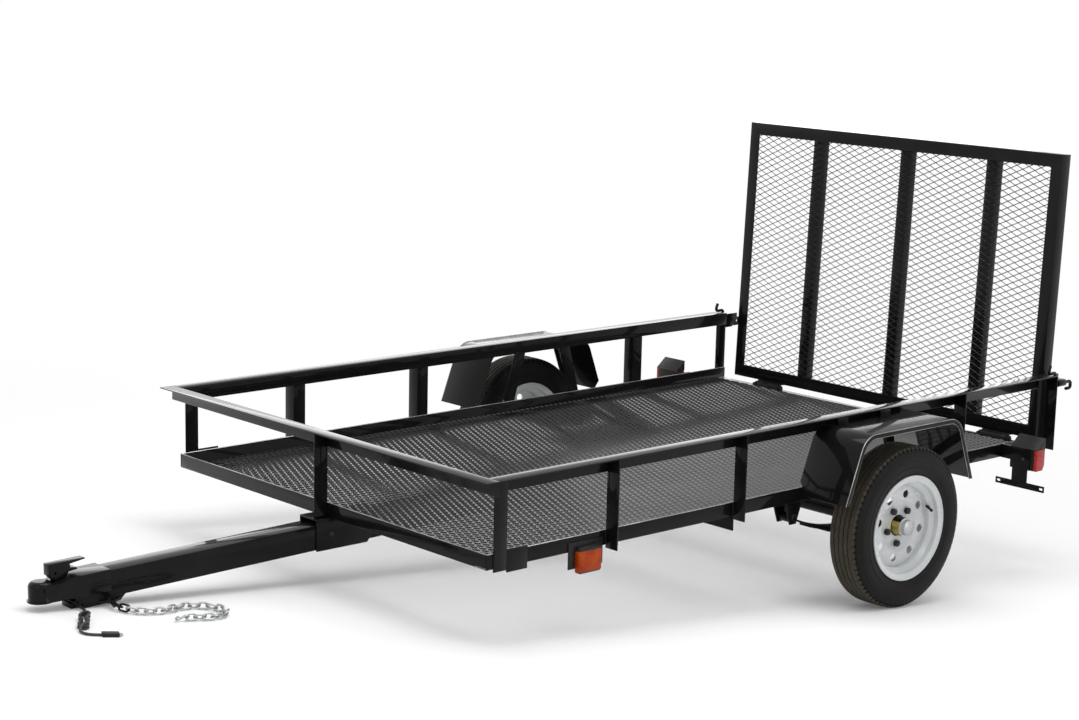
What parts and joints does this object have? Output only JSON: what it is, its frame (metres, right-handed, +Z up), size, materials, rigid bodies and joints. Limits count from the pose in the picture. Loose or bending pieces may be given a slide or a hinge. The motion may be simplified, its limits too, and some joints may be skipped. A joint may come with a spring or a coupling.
{
  "type": "single-axle utility trailer",
  "caption": "Single-axle utility trailer: angle-steel bed with mesh floor, top rails and a fold-down mesh ramp gate, parked nose down on its coupler.",
  "frame": {"origin": "centre of the footprint, on the floor the trailer is parked on", "axes": "+X forward to the coupler, +Y to the trailer's left, +Z up"},
  "size_m": [3.5918, 1.94, 1.4551],
  "materials": {
    "black_paint": "gloss black paint",
    "white_paint": "gloss white paint",
    "tyre": "moulded rubber",
    "bare_steel": "machined steel",
    "zinc": "bright zinc plate",
    "red_lens": "ribbed clear red",
    "amber_lens": "ribbed clear amber",
    "black_plastic": "fine grained",
    "cable": "vinyl jacket"
  },
  "bodies": {
    "chassis": {"axle_beam": "black_paint", "axle_clamps": "black_paint", "chain_plate": "black_paint", "coupler_body": "black_paint", "coupler_latch": "black_paint", "cross_members": "black_paint", "fender_braces": "black_paint", "fender_left": "black_paint", "fender_right": "black_paint", "floor_mesh": "black_paint", "frame_front": "black_paint", "frame_left": "black_paint", "frame_rear": "black_paint", "frame_right": "black_paint", "gate_latches": "black_paint", "hinge_brackets": "black_paint", "lamp_brackets": "black_paint", "leaf_spring_left": "black_paint", "leaf_spring_right": "black_paint", "post_front": "black_paint", "posts_left": "black_paint", "posts_right": "black_paint", "rail_front": "black_paint", "rail_left": "black_paint", "rail_right": "black_paint", "safety_chain_left": "zinc", "safety_chain_right": "zinc", "side_marker_bases": "black_plastic", "side_marker_lenses": "amber_lens", "spring_hangers": "black_paint", "spring_shackles": "black_paint", "tail_lamp_left": "black_plastic", "tail_lamp_lenses": "red_lens", "tail_lamp_right": "black_plastic", "tongue_saddle": "black_paint", "tongue_tube": "black_paint", "wiring_grommet": "cable", "wiring_hank": "cable", "wiring_lead": "cable", "wiring_plug": "black_plastic", "wiring_tail": "cable"},
    "wheel_left": {"tyre_left": "tyre", "rim_left": "white_paint", "hub_left": "bare_steel"},
    "wheel_right": {"tyre_right": "tyre", "rim_right": "white_paint", "hub_right": "bare_steel"},
    "gate": {"gate_frame": "black_paint", "gate_uprights": "black_paint", "gate_mesh": "black_paint", "gate_hinge_barrels": "black_paint"}
  },
  "joints": [
    {"name": "wheel_left_spin", "type": "hinge", "parent": "chassis", "child": "wheel_left", "pos_m": [-0.75933, 0.905, 0.26], "axis": [0, 1, 0], "continuous": true},
    {"name": "wheel_right_spin", "type": "hinge", "parent": "chassis", "child": "wheel_right", "pos_m": [-0.75933, -0.905, 0.26], "axis": [0, 1, 0], "continuous": true},
    {"name": "gate_fold", "type": "hinge", "parent": "chassis", "child": "gate", "pos_m": [-1.72978, 0, 0.4411], "axis": [0, -1, 0], "range_deg": [0, 116]}
  ]
}
